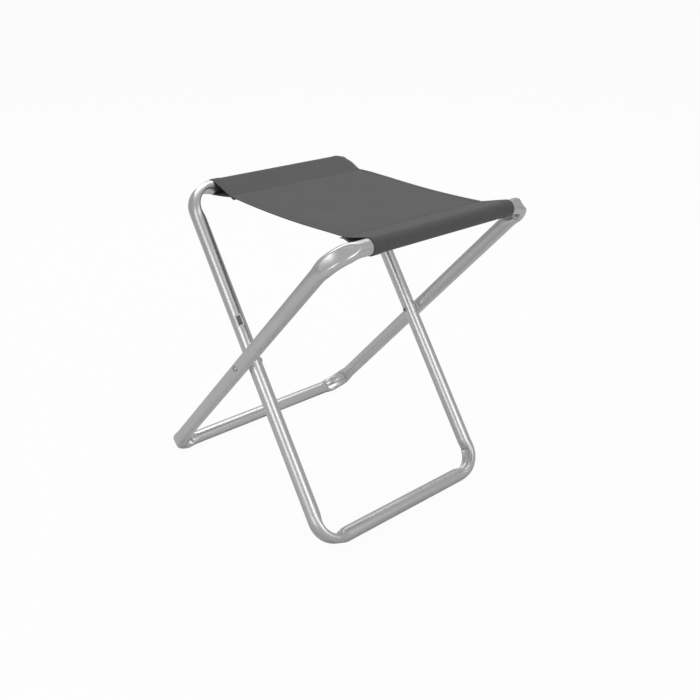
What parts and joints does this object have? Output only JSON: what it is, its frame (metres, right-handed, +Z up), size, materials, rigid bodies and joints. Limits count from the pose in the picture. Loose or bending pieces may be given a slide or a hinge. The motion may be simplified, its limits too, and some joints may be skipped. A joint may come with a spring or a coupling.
{
  "type": "folding camp stool",
  "caption": "Folding camp stool: crossed loops of bent aluminium tube riveted at the legs, with a woven cloth seat sewn round the top rails.",
  "frame": {"origin": "on the ground, under the middle of the stool's bounding box", "axes": "+X along the two rails and the pivot axis, +Y from the outer frame's top rail to the inner frame's top rail, +Z up"},
  "size_m": [0.3648, 0.3982, 0.4376],
  "materials": {
    "frame_aluminium": "satin drawn tube, lightly brushed along its length",
    "ferrule_aluminium": "bare drawn tube",
    "rivet_steel": "zinc plated",
    "spacer_plastic": "translucent natural nylon",
    "seat_cloth": "coated woven polyester, matt",
    "seat_thread": "bonded polyester thread",
    "label_paper": "printed film, blank"
  },
  "bodies": {
    "outer_frame": {"outer_frame_tube": "frame_aluminium", "outer_rail_ferrule": "ferrule_aluminium", "left_pivot_rivet": "rivet_steel", "right_pivot_rivet": "rivet_steel", "left_pivot_spacer": "spacer_plastic", "right_pivot_spacer": "spacer_plastic", "outer_rail_sleeve": "seat_cloth", "seat_panel": "seat_cloth", "left_side_hem": "seat_cloth", "right_side_hem": "seat_cloth", "outer_seam_stitching": "seat_thread", "inner_seam_stitching": "seat_thread", "left_hem_stitching": "seat_thread", "right_hem_stitching": "seat_thread"},
    "inner_frame": {"inner_frame_tube": "frame_aluminium", "inner_rail_ferrule": "ferrule_aluminium", "inner_rail_sleeve": "seat_cloth", "frame_label": "label_paper"}
  },
  "joints": [
    {"name": "fold", "type": "hinge", "parent": "outer_frame", "child": "inner_frame", "pos_m": [0, -0.00149, 0.2205], "axis": [1, 0, 0], "range_deg": [0, 76], "deforming": ["seat_panel", "left_side_hem", "right_side_hem", "outer_seam_stitching", "inner_seam_stitching", "left_hem_stitching", "right_hem_stitching"]}
  ]
}
